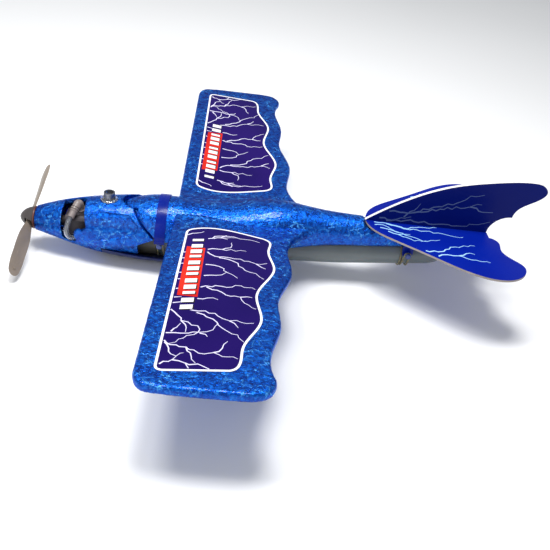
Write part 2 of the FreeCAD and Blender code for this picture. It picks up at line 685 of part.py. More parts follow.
def make_spinner():
    """Domed nose cap, slotted on both sides for the blades."""
    profile = [(0, 1.2), (0.8, 3.0), (2.4, 5.0), (4.6, 6.8), (7.4, 8.2), (11.5, SPINNER_R)]
    outer = turned(profile, (SPINNER_TIP_X, 0, SHAFT_Z), X)
    hollow = [(1.8, 2.4), (4.0, 4.7), (7.0, 6.6), (12, SPINNER_R - 1.2)]
    inner = turned(hollow, (SPINNER_TIP_X, 0, SHAFT_Z), X)
    slot = box(PROP_X - 3.6, PROP_X + 4, -12, 12, -4.4, 4.4)
    slot.rotate(V(0, 0, 0), X, PROP_REST)
    return outer.cut(inner).cut(slot.translated(V(0, 0, SHAFT_Z)))


def make_prop_nut():
    """Hexagonal nut on the end of the shaft."""
    across = 2.9
    turns = [math.radians(60 * i) for i in range(7)]
    corners = [V(PROP_X - 5.6, across * math.cos(a), SHAFT_Z + across * math.sin(a)) for a in turns]
    nut = Part.Face(Part.makePolygon(corners)).extrude(V(2.5, 0, 0))
    return nut.cut(rod((PROP_X - 8, 0, SHAFT_Z), X, SHAFT_R, 8))


# ---- fill valve ----
def make_valve_body():
    """Clear flange and stem of the fill valve, standing in the top of the cowl."""
    body = turned([(0, 3.6), (3.0, 3.6), (3.0, 7.2), (4.1, 7.2), (4.6, 6.4), (4.6, 5.2), (6.3, 4.5)],
                  (VALVE_X, 0, VALVE_BASE), Z)
    body = body.fuse(rod((VALVE_X, 0, VALVE_BASE - 12), Z, 3.6, 13))
    body = body.fuse(rod((VALVE_X + 2, 0, VALVE_BASE - 8.5), X, 2.5, 4))
    body = body.cut(rod((VALVE_X, 0, VALVE_BASE - 7.25), Z, 2.3, 7.15))
    body = body.cut(rod((VALVE_X, 0, VALVE_BASE - 10.5), Z, 1.5, 20))
    body = body.cut(rod((VALVE_X, 0, VALVE_BASE - 8.5), X, TUBE_BORE, 10))
    return body.cut(rod((VALVE_X + 3.4, 0, VALVE_BASE - 8.5), X, TUBE_R + HOSE_FIT, 8))


def make_valve_ring():
    """Open-topped metal collar that the pump's nozzle pushes onto."""
    return pipe((VALVE_X, 0, VALVE_Z + 2.3), Z, 4.65, 3.5, 3.6)


def make_fill_plunger():
    """Spring-loaded plunger that opens the valve when the nozzle presses it."""
    stem = rod((VALVE_X, 0, VALVE_BASE - 1.5), Z, 1.2, 7.7)
    return stem.fuse(rod((VALVE_X, 0, VALVE_BASE - 2.3), Z, 2.15, 1.4)).removeSplitter()


def make_fill_seal():
    return pipe((VALVE_X, 0, VALVE_BASE - 0.85), Z, 2.2, 1.25, 0.7)


def make_fill_spring():
    """Return spring under the plunger, drawn as a thin sleeve."""
    return pipe((VALVE_X, 0, VALVE_BASE - 7.2), Z, 2.0, 1.5, 4.8)


# ---- hoses ----
def nipple_line(height, reach):
    """Where a pipe ends inside a nipple of the tank's cap, and a point straight out in front of it."""
    turn = FreeCAD.Rotation(Y, -TANK_RISE)
    end = turn.multVec(V(CAP_FRONT - 3.0, 0, height)) + V(0, 0, TANK_Z)
    return end, end + turn.multVec(V(-reach, 0, 0))


def feed_route():
    """Way of the clear pipe from the cylinder head, down the port flank and aft to the tank's cap."""
    nipple, lead = nipple_line(NIPPLE_Z[0], 9)
    points = [tuple(nozzle_point(NOZZLE_LENGTH - 2.8)), tuple(nozzle_point(NOZZLE_LENGTH + 3.0)),
              (-86.0, -17.2, -24.0), (-83.5, -14.5, -31.0), (-71.0, -10.2, -33.2), tuple(lead), tuple(nipple)]
    return rounded_route(points, [7.5, 7.0, 6.0, 9.0, 9.0])


def fill_route():
    """Way of the pipe from the fill valve back and down to the tank's cap."""
    nipple, lead = nipple_line(NIPPLE_Z[1], 4.6)
    outlet = VALVE_BASE - 8.5
    points = [(VALVE_X + 3.6, 0, outlet), (VALVE_X + 10.5, 0, outlet), (VALVE_X + 5.6, 0, -25.2),
              tuple(lead), tuple(nipple)]
    return rounded_route(points, [3.2, 2.4, 2.2])


def make_keel_tray():
    """Dark lower lip of the nose: a thin shell under the cap, with a post up to the frame."""
    lip = forward_body(0).cut(forward_body(-2.2)).common(belly_prism(GAP))
    lip = lip.cut(box(-4, 30, -40, 40, -60, -30))
    posts = [box(-56, -51, y - 1.2, y + 1.2, -44.5, -28) for y in (-8.2, 8.2)]
    return fused([lip] + posts).cut(on_tank(rod((CAP_FRONT - 1, 0, 0), X, TANK_R + GAP, 90)))


def export(name, shape):
    shape.translate(TO_ROW)
    shape.exportStep("parts/" + name + ".step")
    size = shape.optimalBoundingBox()
    print("%-18s valid %s solids %d vol %.0f x %.2f..%.2f z %.2f..%.2f" % (
        name, shape.isValid(), len(shape.Solids), shape.Volume, size.XMin, size.XMax, size.ZMin, size.ZMax))


def main():
    os.makedirs("parts", exist_ok=True)
    envelope = body_envelope(0)
    feed, feed_length = along_route(feed_route(), FEED_R, FEED_BORE)
    fill, fill_length = along_route(fill_route(), TUBE_R, TUBE_BORE)
    print("feed tube %.1f long, fill tube %.1f long" % (feed_length, fill_length))
    nodes = {
        "nose_cowl": make_nose_cowl(),
        "keel_tray": make_keel_tray(),
        "fuselage": make_fuselage(envelope),
        "wing_left": make_wing(-1, envelope),
        "wing_right": make_wing(1, envelope),
        "wing_spar": make_spar(),
        "wing_decal_left": make_wing_decal(-1),
        "wing_decal_right": make_wing_decal(1),
        "tail_fin": make_fin(),
        "stabilizer_left": make_stabilizer(-1),
        "stabilizer_right": make_stabilizer(1),
        "tail_mount": make_tail_mount(),
        "front_strap": make_front_strap(),
        "front_pegs": peg_pair(STRAP_X, 22.0, FRONT_PEG_Z, 5.2, 2.4),
        "rear_pegs": peg_pair(197.5, 12.8, REAR_PEG_Z, 4.6, 2.4),
        "front_band": band_loop(STRAP_X, 24.6, FRONT_PEG_Z, TANK_R + BAND_R + 0.25),
        "rear_band": band_loop(197.5, 15.6, REAR_PEG_Z, 10.9),
        "spare_band": make_spare_band(),
        "air_tank": make_tank(),
        "tank_cap": make_tank_cap(),
        "tank_seal": make_tank_seal(),
        "motor_frame": make_motor_frame(),
        "crankcase": make_crankcase(),
        "case_cover": make_case_cover(),
        "case_screws": make_case_screws(),
        "front_bush": make_front_bush(),
        "rear_bush": make_rear_bush(),
        "barrel": make_barrel(),
        "cylinder_head": make_cylinder_head(),
        "valve_ball": make_valve_ball(),
        "valve_spring": make_valve_spring(),
        "crankshaft": make_crankshaft(),
        "crank_pin": make_crank_pin(),
        "piston": make_piston(),
        "piston_seal": make_piston_seal(),
        "wrist_pin": make_wrist_pin(),
        "connecting_rod": make_connecting_rod(),
        "nose_plate": make_nose_plate(),
        "thrust_washer": make_thrust_washer(),
        "propeller": make_propeller(),
        "spinner_base": make_spinner_base(),
        "spinner": make_spinner(),
        "prop_nut": make_prop_nut(),
        "valve_body": make_valve_body(),
        "valve_ring": make_valve_ring(),
        "fill_plunger": make_fill_plunger(),
        "fill_seal": make_fill_seal(),
        "fill_spring": make_fill_spring(),
        "feed_tube": feed,
        "fill_tube": fill,
    }
    for name, shape in nodes.items():
        export(name, shape)


main()
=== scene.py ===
import json
import math
import random

import bmesh
import bpy
import numpy as np
from mathutils import Matrix, Vector


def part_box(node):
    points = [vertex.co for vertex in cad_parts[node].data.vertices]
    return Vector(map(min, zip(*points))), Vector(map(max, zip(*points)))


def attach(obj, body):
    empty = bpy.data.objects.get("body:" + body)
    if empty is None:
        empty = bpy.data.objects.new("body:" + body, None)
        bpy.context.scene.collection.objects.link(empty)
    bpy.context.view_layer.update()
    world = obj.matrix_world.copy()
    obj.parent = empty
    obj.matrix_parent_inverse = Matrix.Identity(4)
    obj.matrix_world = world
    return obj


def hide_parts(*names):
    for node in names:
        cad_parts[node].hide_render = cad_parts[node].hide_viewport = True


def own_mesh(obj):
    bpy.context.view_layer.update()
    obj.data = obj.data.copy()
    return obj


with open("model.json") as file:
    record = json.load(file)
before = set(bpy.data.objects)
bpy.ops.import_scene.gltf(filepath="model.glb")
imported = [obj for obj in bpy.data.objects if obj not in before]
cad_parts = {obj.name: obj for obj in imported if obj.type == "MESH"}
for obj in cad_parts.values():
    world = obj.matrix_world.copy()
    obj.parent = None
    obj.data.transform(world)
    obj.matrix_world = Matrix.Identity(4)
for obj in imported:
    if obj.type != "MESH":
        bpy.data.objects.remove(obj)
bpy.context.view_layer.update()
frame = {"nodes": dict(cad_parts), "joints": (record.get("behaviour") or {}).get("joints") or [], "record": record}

# A foam free-flight plane with a compressed-air motor.  The frame carries the design; this file gives
# it foam skins under crinkled foil, printed films, a blown bottle, coil springs and its finishes.
# Sizes are in millimetres from the rigging datum and become metres through at() and MM.

MM = 0.001
SHAFT = Vector(next(joint["pos_m"] for joint in frame["joints"] if joint["name"] == "prop_spin"))
SHAFT_FORWARD = 118.0   # from the datum to the shaft's joint
SHAFT_DROP = 23.5
DATUM = SHAFT + Vector((SHAFT_FORWARD, 0.0, SHAFT_DROP)) * MM   # wing leading edge, centre, upper face

WING_DIHEDRAL = math.radians(4.11)
TAIL_DIHEDRAL = math.radians(2.5)
MERGE = 1e-6            # metres within which loose corners are one


def at(x, y, z):
    return DATUM + Vector((x, y, z)) * MM


# ---- node graphs ----
class Value:
    """A socket that adds Math nodes when it is used in an expression."""

    def __init__(self, graph, socket):
        self.graph = graph
        self.socket = socket

    def math(self, operation, first, second):
        return self.graph.put("ShaderNodeMath", {"operation": operation}, in0=first, in1=second)

    def __add__(self, other):
        return self.math("ADD", self, other)

    def __radd__(self, other):
        return self.math("ADD", other, self)

    def __sub__(self, other):
        return self.math("SUBTRACT", self, other)

    def __rsub__(self, other):
        return self.math("SUBTRACT", other, self)

    def __mul__(self, other):
        return self.math("MULTIPLY", self, other)

    def __rmul__(self, other):
        return self.math("MULTIPLY", other, self)


class Graph:
    """A shader or geometry tree under construction."""

    def __init__(self, tree):
        self.tree = tree

    def put(self, kind, settings=None, output=0, **inputs):
        """Adds a node: settings first, then its sockets by name, or by number as in0, in1."""
        node = self.tree.nodes.new(kind)
        for key, value in (settings or {}).items():
            if key == "stops":
                self.set_stops(node.color_ramp, value)
            else:
                setattr(node, key, value)
        for key, value in inputs.items():
            numbered = key[:2] == "in" and key[2:].isdigit()
            self.feed(node.inputs[int(key[2:]) if numbered else key.replace("_", " ")], value)
        return Value(self, node.outputs[output])

    def set_stops(self, ramp, stops):
        """Gives a colour ramp its (place, colour) stops."""
        while len(ramp.elements) < len(stops):
            ramp.elements.new(0.5)
        for element, (place, colour) in zip(ramp.elements, stops):
            element.position = place
            element.color = (*colour, 1.0)

    def feed(self, socket, value):
        """Links a value to a socket, or sets a plain number or colour on it."""
        if isinstance(value, Value):
            self.tree.links.new(value.socket, socket)
        else:
            socket.default_value = value

    def mix(self, factor, first, second):
        return self.put("ShaderNodeMix", {"data_type": "RGBA"}, 2, in0=factor, in6=first, in7=second)

    def noise(self, place, scale, detail=3.0, distortion=0.0):
        return self.put("ShaderNodeTexNoise", None, 0, Vector=place, Scale=scale, Detail=detail,
                        Distortion=distortion)

    def cells(self, place, scale, feature="F1", output=0):
        return self.put("ShaderNodeTexVoronoi", {"feature": feature}, output, Vector=place, Scale=scale)

    def stretched(self, place, scale):
        return self.put("ShaderNodeMapping", None, 0, Vector=place, Scale=scale)

    def range(self, value, low, high, to_low=0.0, to_high=1.0):
        return self.put("ShaderNodeMapRange", {"interpolation_type": "SMOOTHSTEP"}, 0, Value=value,
                        From_Min=low, From_Max=high, To_Min=to_low, To_Max=to_high)

    def ramp(self, value, stops):
        return self.put("ShaderNodeValToRGB", {"stops": stops}, 0, Fac=value)

    def bump(self, height, strength, distance):
        return self.put("ShaderNodeBump", None, 0, Height=height, Strength=strength, Distance=distance)


def rgb(colour, level=1.0):
    """A colour with full alpha, made lighter or darker by level."""
    return (*[channel * level for channel in colour], 1.0)


class Finish:
    """A material with one Principled shader: constants on its sockets, what varies through paint()."""

    def __init__(self, name, **constants):
        self.material = bpy.data.materials.new(name)
        self.material.use_nodes = True
        self.graph = Graph(self.material.node_tree)
        self.shader = self.material.node_tree.nodes["Principled BSDF"]
        self.place = self.graph.put("ShaderNodeTexCoord", None, 3)
        self.paint(**constants)

    def paint(self, **inputs):
        for key, value in inputs.items():
            self.graph.feed(self.shader.inputs[key.replace("_", " ")], value)
        return self.material


# ---- finishes ----
def crinkled_foil(name, deep, body, light):
    """Metallic film heat-shrunk over beaded foam: small facets, creases and flecks, and a painted highlight along
    thin crease lines.
    """
    finish = Finish(name, Metallic=0.85, Coat_Weight=0.30, Coat_Roughness=0.13,
                    Specular_Tint=(0.12, 0.42, 0.90, 1.0))
    g = finish.graph
    sway = g.put("ShaderNodeTexNoise", None, 1, Vector=finish.place, Scale=230, Detail=3.0)
    drift = g.put("ShaderNodeVectorMath", {"operation": "SCALE"}, 0, in0=sway, Scale=0.006)
    bent = g.put("ShaderNodeVectorMath", {"operation": "ADD"}, 0, in0=finish.place, in1=drift)
    mottle = g.noise(finish.place, 330, 4, 0.7)
    wrinkle = g.noise(finish.place, 760, 5, 1.2)
    cloud = g.noise(finish.place, 60, 3)
    beads = g.cells(finish.place, 420, "SMOOTH_F1")
    flakes = g.put("ShaderNodeSeparateColor", None, 0, Color=g.cells(finish.place, 620, "F1", 1))
    edge = g.cells(bent, 105, "DISTANCE_TO_EDGE")
    # painted highlight: light cyan mixed into the foil's colour along thin crease lines, which also rise a little
    # in the bump
    painted_crease_highlight = g.range(edge, 0.0, 0.045, 1.0, 0.0) * g.range(mottle, 0.38, 0.56) * g.range(cloud, 0.38, 0.56)
    tone = mottle * 0.58 + wrinkle * 0.24 + cloud * 0.12 + flakes * 0.07
    colour = g.ramp(tone, [(0.38, deep), (0.51, body), (0.66, light)])
    colour = g.mix(painted_crease_highlight * 0.85, colour, rgb((0.10, 0.42, 0.86)))
    height = wrinkle * 0.9 + beads * 0.7 + flakes * 0.2 + painted_crease_highlight * 0.5
    return finish.paint(Base_Color=colour, Roughness=g.range(mottle, 0.3, 0.7, 0.24, 0.42),
                        Normal=g.bump(height, 0.8, 0.0006))


def printed_film(name, ink, haze, gloss):
    """Screen print under a clear film: even ink with a slow drift in tone and faint orange peel."""
    finish = Finish(name, Coat_Weight=0.03, Coat_Roughness=gloss, Specular_IOR_Level=0.07)
    g = finish.graph
    drift = g.noise(finish.place, 14, 2)
    peel = g.noise(finish.place, 520, 2)
    speck = g.range(g.noise(finish.place, 1500, 2), 0.62, 0.72)
    colour = g.mix(g.range(drift, 0.35, 0.7), rgb(ink), rgb(haze))
    colour = g.mix(speck * 0.12, colour, rgb(haze, 1.6))
    return finish.paint(Base_Color=colour, Roughness=g.range(drift, 0.3, 0.7, 0.30, 0.40),
                        Normal=g.bump(peel, 0.12, 0.0002))


def cut_foam(name):
    """White expanded foam where a printed sheet is cut: closed cells and a slightly grey skin."""
    finish = Finish(name, Roughness=0.75)
    g = finish.graph
    cell = g.cells(finish.place, 900, "F1")
    shade = g.noise(finish.place, 180, 4)
    colour = g.ramp(shade * 0.6 + cell * 0.5, [(0.25, (0.60, 0.58, 0.55)), (0.55, (0.84, 0.83, 0.81))])
    return finish.paint(Base_Color=colour, Normal=g.bump(cell, 0.5, 0.0003))


def moulded(name, colour, roughness=0.42, variation=0.18, grain=900.0, grain_depth=0.00012, **constants):
    """Injection-moulded plastic: faint flow marks, fine spark-eroded grain and uneven gloss."""
    finish = Finish(name, **constants)
    g = finish.graph
    flow = g.noise(g.stretched(finish.place, (60, 22, 60)), 1.0, 4, 0.8)
    grit = g.noise(finish.place, grain, 4)
    scuff = g.range(g.noise(g.stretched(finish.place, (900, 140, 300)), 1.0, 3), 0.62, 0.70)
    shaded = g.mix(g.range(flow, 0.3, 0.7), rgb(colour, 1 - variation), rgb(colour, 1 + variation))
    shaded = g.mix(scuff * 0.22, shaded, rgb(colour, 1.7))
    rough = g.range(flow * 0.5 + grit * 0.5, 0.3, 0.7, roughness - 0.07, roughness + 0.09)
    return finish.paint(Base_Color=shaded, Roughness=rough,
                        Normal=g.bump(grit + scuff * 0.4, 0.35, grain_depth))


def clear_resin(name):
    """Clear moulded plastic with faint flow lines."""
    finish = Finish(name, Transmission_Weight=0.93, IOR=1.47)
    g = finish.graph
    flow = g.noise(g.stretched(finish.place, (400, 400, 120)), 1.0, 3, 0.5)
    colour = g.ramp(flow, [(0.35, (0.90, 0.93, 0.96)), (0.65, (0.98, 0.99, 1.0))])
    return finish.paint(Base_Color=colour, Roughness=g.range(flow, 0.3, 0.7, 0.02, 0.06),
                        Normal=g.bump(flow, 0.03, 0.00005))


def stretched_rubber(name, colour):
    """Natural rubber band, slightly see-through, with a dusty bloom and fine stretch lines."""
    finish = Finish(name, Transmission_Weight=0.15, Subsurface_Weight=0.2, Subsurface_Scale=0.002)
    g = finish.graph
    bloom = g.noise(finish.place, 500, 4)
    lines = g.noise(g.stretched(finish.place, (2600, 500, 500)), 1.0, 2)
    shade = g.mix(g.range(bloom, 0.35, 0.7), rgb(colour), rgb(colour, 1.5))
    return finish.paint(Base_Color=shade, Roughness=g.range(bloom, 0.3, 0.7, 0.40, 0.62),
                        Normal=g.bump(lines, 0.3, 0.0002))


def turned_metal(name, colour, roughness):
    """Turned or drawn metal: fine tool rings, slight tarnish."""
    finish = Finish(name, Metallic=1.0)
    g = finish.graph
    rings = g.noise(g.stretched(finish.place, (4200, 700, 4200)), 1.0, 2)
    tarnish = g.noise(finish.place, 260, 5)
    shade = g.mix(g.range(tarnish, 0.4, 0.75), rgb(colour), rgb(colour, 0.6))
    return finish.paint(Base_Color=shade, Roughness=g.range(tarnish, 0.3, 0.7, roughness, roughness + 0.15),
                        Normal=g.bump(rings, 0.2, 0.00008))


def bottle_plastic(name):
    """Blow-moulded bottle: satin, a little cloudy, with long soft streaks along its length."""
    finish = Finish(name, Coat_Weight=0.15, Coat_Roughness=0.3, Subsurface_Weight=0.15,
                    Subsurface_Scale=0.004, Specular_IOR_Level=0.45)
    g = finish.graph
    streak = g.noise(g.stretched(finish.place, (9, 150, 150)), 1.0, 4, 0.4)
    cloud = g.noise(finish.place, 45, 4)
    pit = g.noise(finish.place, 1300, 2)
    shade = g.ramp(streak * 0.55 + cloud * 0.45,
                   [(0.34, (0.118, 0.142, 0.146)), (0.66, (0.172, 0.196, 0.196))])
    return finish.paint(Base_Color=shade, Roughness=g.range(cloud, 0.3, 0.7, 0.34, 0.46),
                        Normal=g.bump(streak + pit * 0.3, 0.18, 0.0003))


FOIL = crinkled_foil("foil over foam", (0.0, 0.034, 0.29), (0.001, 0.080, 0.48), (0.010, 0.190, 0.72))
FINISHES = {
    "foil_foam": FOIL,
    "decal_film": printed_film("white vinyl margin", (0.86, 0.86, 0.88), (0.92, 0.92, 0.93), 0.2),
    "tail_sheet": cut_foam("cut foam sheet"),
    "strap_plastic": moulded("glossy blue strap", (0.0, 0.011, 0.215), 0.26, 0.12, 300, 0.0001,
                             Coat_Weight=0.12, Coat_Roughness=0.08, Specular_IOR_Level=0.12),
    "peg_plastic": moulded("blue peg", (0.045, 0.075, 0.26), 0.35),
    "band_rubber": stretched_rubber("rubber band", (0.17, 0.15, 0.085)),
    "tank_plastic": bottle_plastic("satin bottle"),
    "cap_plastic": moulded("olive-grey cap", (0.115, 0.108, 0.085), 0.50, 0.15),
    # the tray's very dark navy is painted shade: it stands in for the shadow under the cowl and wing
    "keel_plastic": moulded("navy tray dark as painted shade", (0.002, 0.010, 0.085), 0.30, 0.25, 260, 0.0003),
    "motor_plastic": moulded("brown-black motor block", (0.040, 0.031, 0.036), 0.5, 0.2),
    "head_plastic": moulded("beige-grey head", (0.225, 0.185, 0.175), 0.30, 0.16, Coat_Weight=0.25),
    "clear_plastic": clear_resin("clear tube and flange"),
    "prop_plastic": moulded("beige-grey blades", (0.245, 0.200, 0.160), 0.40, 0.14, 420, 0.00015),
    "spinner_plastic": moulded("dark grey spinner", (0.052, 0.044, 0.043), 0.45, 0.18),
    "steel": turned_metal("ground steel", (0.56, 0.56, 0.57), 0.24),
    "brass": turned_metal("turned brass", (0.62, 0.43, 0.16), 0.28),
    "collar_metal": turned_metal("plated collar", (0.30, 0.31, 0.34), 0.30),
    "seal_rubber": moulded("black seal", (0.016, 0.016, 0.017), 0.55),
}
# the tailplane's cut edges are a darker copy of the fin's white foam: painted shade
SHADED_TAIL_EDGE = moulded("cut foam edge darkened as painted shade", (0.34, 0.29, 0.26), 0.6)
NOSE_RING = moulded("red-brown thrust plate", (0.110, 0.028, 0.022), 0.45)
DECAL_INK = printed_film("violet ink", (0.008, 0.0015, 0.085), (0.014, 0.003, 0.110), 0.16)
TAIL_INK = printed_film("blue ink", (0.001, 0.010, 0.255), (0.001, 0.014, 0.30), 0.20)
# the fin's two inks are darker copies of the tailplane's blue and cyan inks: painted shade on the fin's side faces
SHADED_FIN_INK = printed_film("deep blue ink", (0.001, 0.007, 0.140), (0.001, 0.009, 0.165), 0.20)
RED_INK = printed_film("red ink", (0.52, 0.012, 0.006), (0.66, 0.028, 0.014), 0.16)
PALE_INK = printed_film("lavender ink", (0.70, 0.66, 0.86), (0.80, 0.78, 0.93), 0.16)
CYAN_INK = printed_film("light cyan ink", (0.30, 0.60, 0.86), (0.45, 0.74, 0.95), 0.10)
SHADED_FIN_BOLT_INK = printed_film("grey-blue ink", (0.085, 0.125, 0.270), (0.12, 0.17, 0.33), 0.20)
WHITE_INK = printed_film("white ink", (0.78, 0.78, 0.80), (0.86, 0.86, 0.87), 0.16)
SHADE_INK = printed_film("dark ink", (0.020, 0.016, 0.018), (0.035, 0.030, 0.032), 0.16)


# ---- meshes ----
def linked(name, data):
    """A new object in the scene around a mesh, curve, light or camera."""
    piece = bpy.data.objects.new(name, data)
    bpy.context.scene.collection.objects.link(piece)
    return piece


def evaluated(piece):
    """The piece's shape with its modifiers or bevel made into a plain mesh; the piece itself goes."""
    bpy.context.view_layer.update()
    graph = bpy.context.evaluated_depsgraph_get()
    mesh = bpy.data.meshes.new_from_object(piece.evaluated_get(graph))
    bpy.data.objects.remove(piece)
    return mesh


def fit_out(name, mesh, finish, body="airframe", stands_for=()):
    """Places a finished mesh on its body with its finish, and hides the CAD nodes it stands for."""
    mesh.name = name
    mesh.materials.clear()
    mesh.materials.append(finish)
    piece = linked(name, mesh)
    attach(piece, body)
    if stands_for:
        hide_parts(*stands_for)
    return piece


def made_mesh(work, smooth=True):
    """A mesh from a bmesh, with its normals facing out."""
    bmesh.ops.recalc_face_normals(work, faces=work.faces)
    mesh = bpy.data.meshes.new("made")
    work.to_mesh(mesh)
    work.free()
    if smooth:
        mesh.shade_smooth()
    else:
        mesh.shade_flat()
    return mesh


def merged_copy(node):
    """A node's mesh with its loose triangles joined up."""
    work = bmesh.new()
    work.from_mesh(frame["nodes"][node].data)
    bmesh.ops.remove_doubles(work, verts=work.verts, dist=MERGE)
    mesh = bpy.data.meshes.new(node)
    work.to_mesh(mesh)
    work.free()
    return mesh


def lathe(profile, place, steps=96):
    """Closed solid from a closed (along, radius) loop turned about X, moved by the matrix place."""
    work = bmesh.new()
    rings = []
    for i in range(steps):
        angle = 2 * math.pi * i / steps
        side, up = math.cos(angle), math.sin(angle)
        ring = [place @ (Vector((along, radius * side, radius * up)) * MM) for along, radius in profile]
        rings.append([work.verts.new(point) for point in ring])
    for i in range(steps):
        here, there = rings[i], rings[(i + 1) % steps]
        for j in range(len(profile)):
            k = (j + 1) % len(profile)
            work.faces.new((here[j], there[j], there[k], here[k]))
    bmesh.ops.remove_doubles(work, verts=work.verts, dist=1e-7)
    return made_mesh(work)


def rounded(corners, radius, steps=5):
    """The corners of a profile, each replaced by a short arc that meets both its sides."""
    points = []
    count = len(corners)
    for i in range(count):
        before, corner, after = (Vector(corners[j % count]) for j in (i - 1, i, i + 1))
        to_before, to_after = before - corner, after - corner
        cut = min(radius, to_before.length * 0.45, to_after.length * 0.45)
        start = corner + to_before.normalized() * cut
        end = corner + to_after.normalized() * cut
        for step in range(steps + 1):
            t = step / steps
            points.append(start * (1 - t) ** 2 + corner * 2 * t * (1 - t) + end * t ** 2)
    return points


def wire(points, radius):
    """Round wire through points, with capped ends."""
    curve = bpy.data.curves.new("wire", "CURVE")
    curve.dimensions = "3D"
    curve.bevel_depth = radius * MM
    curve.bevel_resolution = 3
    curve.use_fill_caps = True
    spline = curve.splines.new("NURBS")
    spline.points.add(len(points) - 1)
    for point, place in zip(spline.points, points):
        point.co = (*place, 1.0)
    spline.use_endpoint_u = True
    spline.order_u = 3
    spline.resolution_u = 4
    return evaluated(linked("wire", curve))


# ---- foam under foil ----
WING_GRAIN = 0.9        # size of the faces that carry the foil on the wings and fuselage
COWL_GRAIN = 0.62
TRAY_GRAIN = 0.45
FOIL_DEPTH = 0.22       # how far the crinkle moves the skin of the wings and fuselage
COWL_DEPTH = 0.176
FOIL_CELL = 3.2         # width of one bead of the foam


def crinkle_tree():
    """Geometry tree that works beads and creases of the foil into a fine surface."""
    tree = bpy.data.node_groups.new("crinkle", "GeometryNodeTree")
    tree.interface.new_socket("Geometry", in_out="INPUT", socket_type="NodeSocketGeometry")
    for name in ("Depth", "Cell size", "Crease depth"):
        tree.interface.new_socket(name, in_out="INPUT", socket_type="NodeSocketFloat")
    tree.interface.new_socket("Finish", in_out="INPUT", socket_type="NodeSocketMaterial")
    tree.interface.new_socket("Geometry", in_out="OUTPUT", socket_type="NodeSocketGeometry")
    g = Graph(tree)
    source = tree.nodes.new("NodeGroupInput")
    shape, depth, size, crease, finish = (Value(g, source.outputs[i]) for i in range(5))
    place = g.put("GeometryNodeInputPosition")
    scale = g.put("ShaderNodeMath", {"operation": "DIVIDE"}, in0=1.0, in1=size)
    beads = g.cells(place, scale, "SMOOTH_F1")
    folds = g.noise(place, scale * 0.55, 4.0, 0.8)
    veins = g.cells(place, scale * 0.4, "DISTANCE_TO_EDGE")
    ridge = g.put("ShaderNodeMapRange", None, 0, Value=veins, in1=0.0, in2=0.12, in3=1.0, in4=0.0)
    lift = (folds - 0.5) * depth * 2.0 - beads * depth * 0.8 + ridge * crease
    normal = g.put("GeometryNodeInputNormal")
    offset = g.put("ShaderNodeVectorMath", {"operation": "SCALE"}, 0, in0=normal, Scale=lift)
    moved = g.put("GeometryNodeSetPosition", None, 0, Geometry=shape, Offset=offset)
    real = g.put("GeometryNodeRealizeInstances", None, 0, Geometry=moved)
    painted = g.put("GeometryNodeSetMaterial", None, 0, Geometry=real, Material=finish)
    sink = tree.nodes.new("NodeGroupOutput")
    g.feed(sink.inputs[0], painted)
    return tree


CRINKLE = crinkle_tree()


def crinkled(mesh, depth):
    """Runs the crinkle tree over a mesh."""
    piece = linked("crinkled", mesh)
    modifier = piece.modifiers.new("crinkle", "NODES")
    modifier.node_group = CRINKLE
    values = {"Depth": depth * MM, "Cell size": FOIL_CELL * MM, "Crease depth": depth * 0.35 * MM,
              "Finish": FOIL}
    for item in CRINKLE.interface.items_tree:
        if item.in_out == "INPUT" and item.name in values:
            modifier[item.identifier] = values[item.name]
    return evaluated(piece)


def soft_edged(node, grain, passes):
    """A node's shape with even faces and its corners rounded, as moulded foam has them."""
    piece = linked(node + "_soft", merged_copy(node))
    remesh = piece.modifiers.new("even", "REMESH")
    remesh.mode = "VOXEL"
    remesh.voxel_size = grain * MM
    smooth = piece.modifiers.new("soft", "SMOOTH")
    smooth.factor = 0.5
    smooth.iterations = passes
    return evaluated(piece)


def smoothstep(low, high, values):
    """0 below low, 1 above high and an even rise between."""
    t = np.clip((values - low) / (high - low), 0, 1)
    return t * t * (3 - 2 * t)


def coordinates(mesh):
    """Vertex places in millimetres from the datum, and normals."""
    count = len(mesh.vertices)
    places, normals = np.zeros(count * 3), np.zeros(count * 3)
    mesh.vertices.foreach_get("co", places)
    mesh.vertices.foreach_get("normal", normals)
    return (places.reshape(-1, 3) - np.array(DATUM)) / MM, normals.reshape(-1, 3)


def set_coordinates(mesh, places):
    """Moves the vertices to places in millimetres from the datum."""
    mesh.vertices.foreach_set("co", (places * MM + np.array(DATUM)).ravel())
    mesh.update()


LEVEL = 1e-9            # a side that rises less than this is level


def inside_distance(points, outline):
    """Distance from each 2D point to a closed outline, positive inside."""
    inside = np.zeros(len(points), bool)
    nearest = np.full(len(points), 1e9)
    for a, b in zip(outline, outline[1:] + outline[:1]):
        a, b = np.array(a, float), np.array(b, float)
        side = b - a
        t = np.clip(((points - a) @ side) / (side @ side), 0, 1)
        nearest = np.minimum(nearest, np.linalg.norm(points - a - t[:, None] * side, axis=1))
        crosses = (a[1] > points[:, 1]) != (b[1] > points[:, 1])
        rise = side[1] if abs(side[1]) > LEVEL else LEVEL
        inside ^= crosses & (points[:, 0] < a[0] + (points[:, 1] - a[1]) * side[0] / rise)
    return np.where(inside, nearest, -nearest)


CHEEK = [(-66.0, -3.4), (-34.5, -1.6), (-25.8, -8.0), (-27.5, -14.5), (-51.5, -24.0), (-66.0, -23.0)]
CHEEK_DEPTH = 1.5
CHEEK_FADE = (-64.0, -50.0)    # the panel runs out into the skin towards the motor window
COWL_FLANK = 8.0               # skin further out than this from the centre plane is a side of the cowl


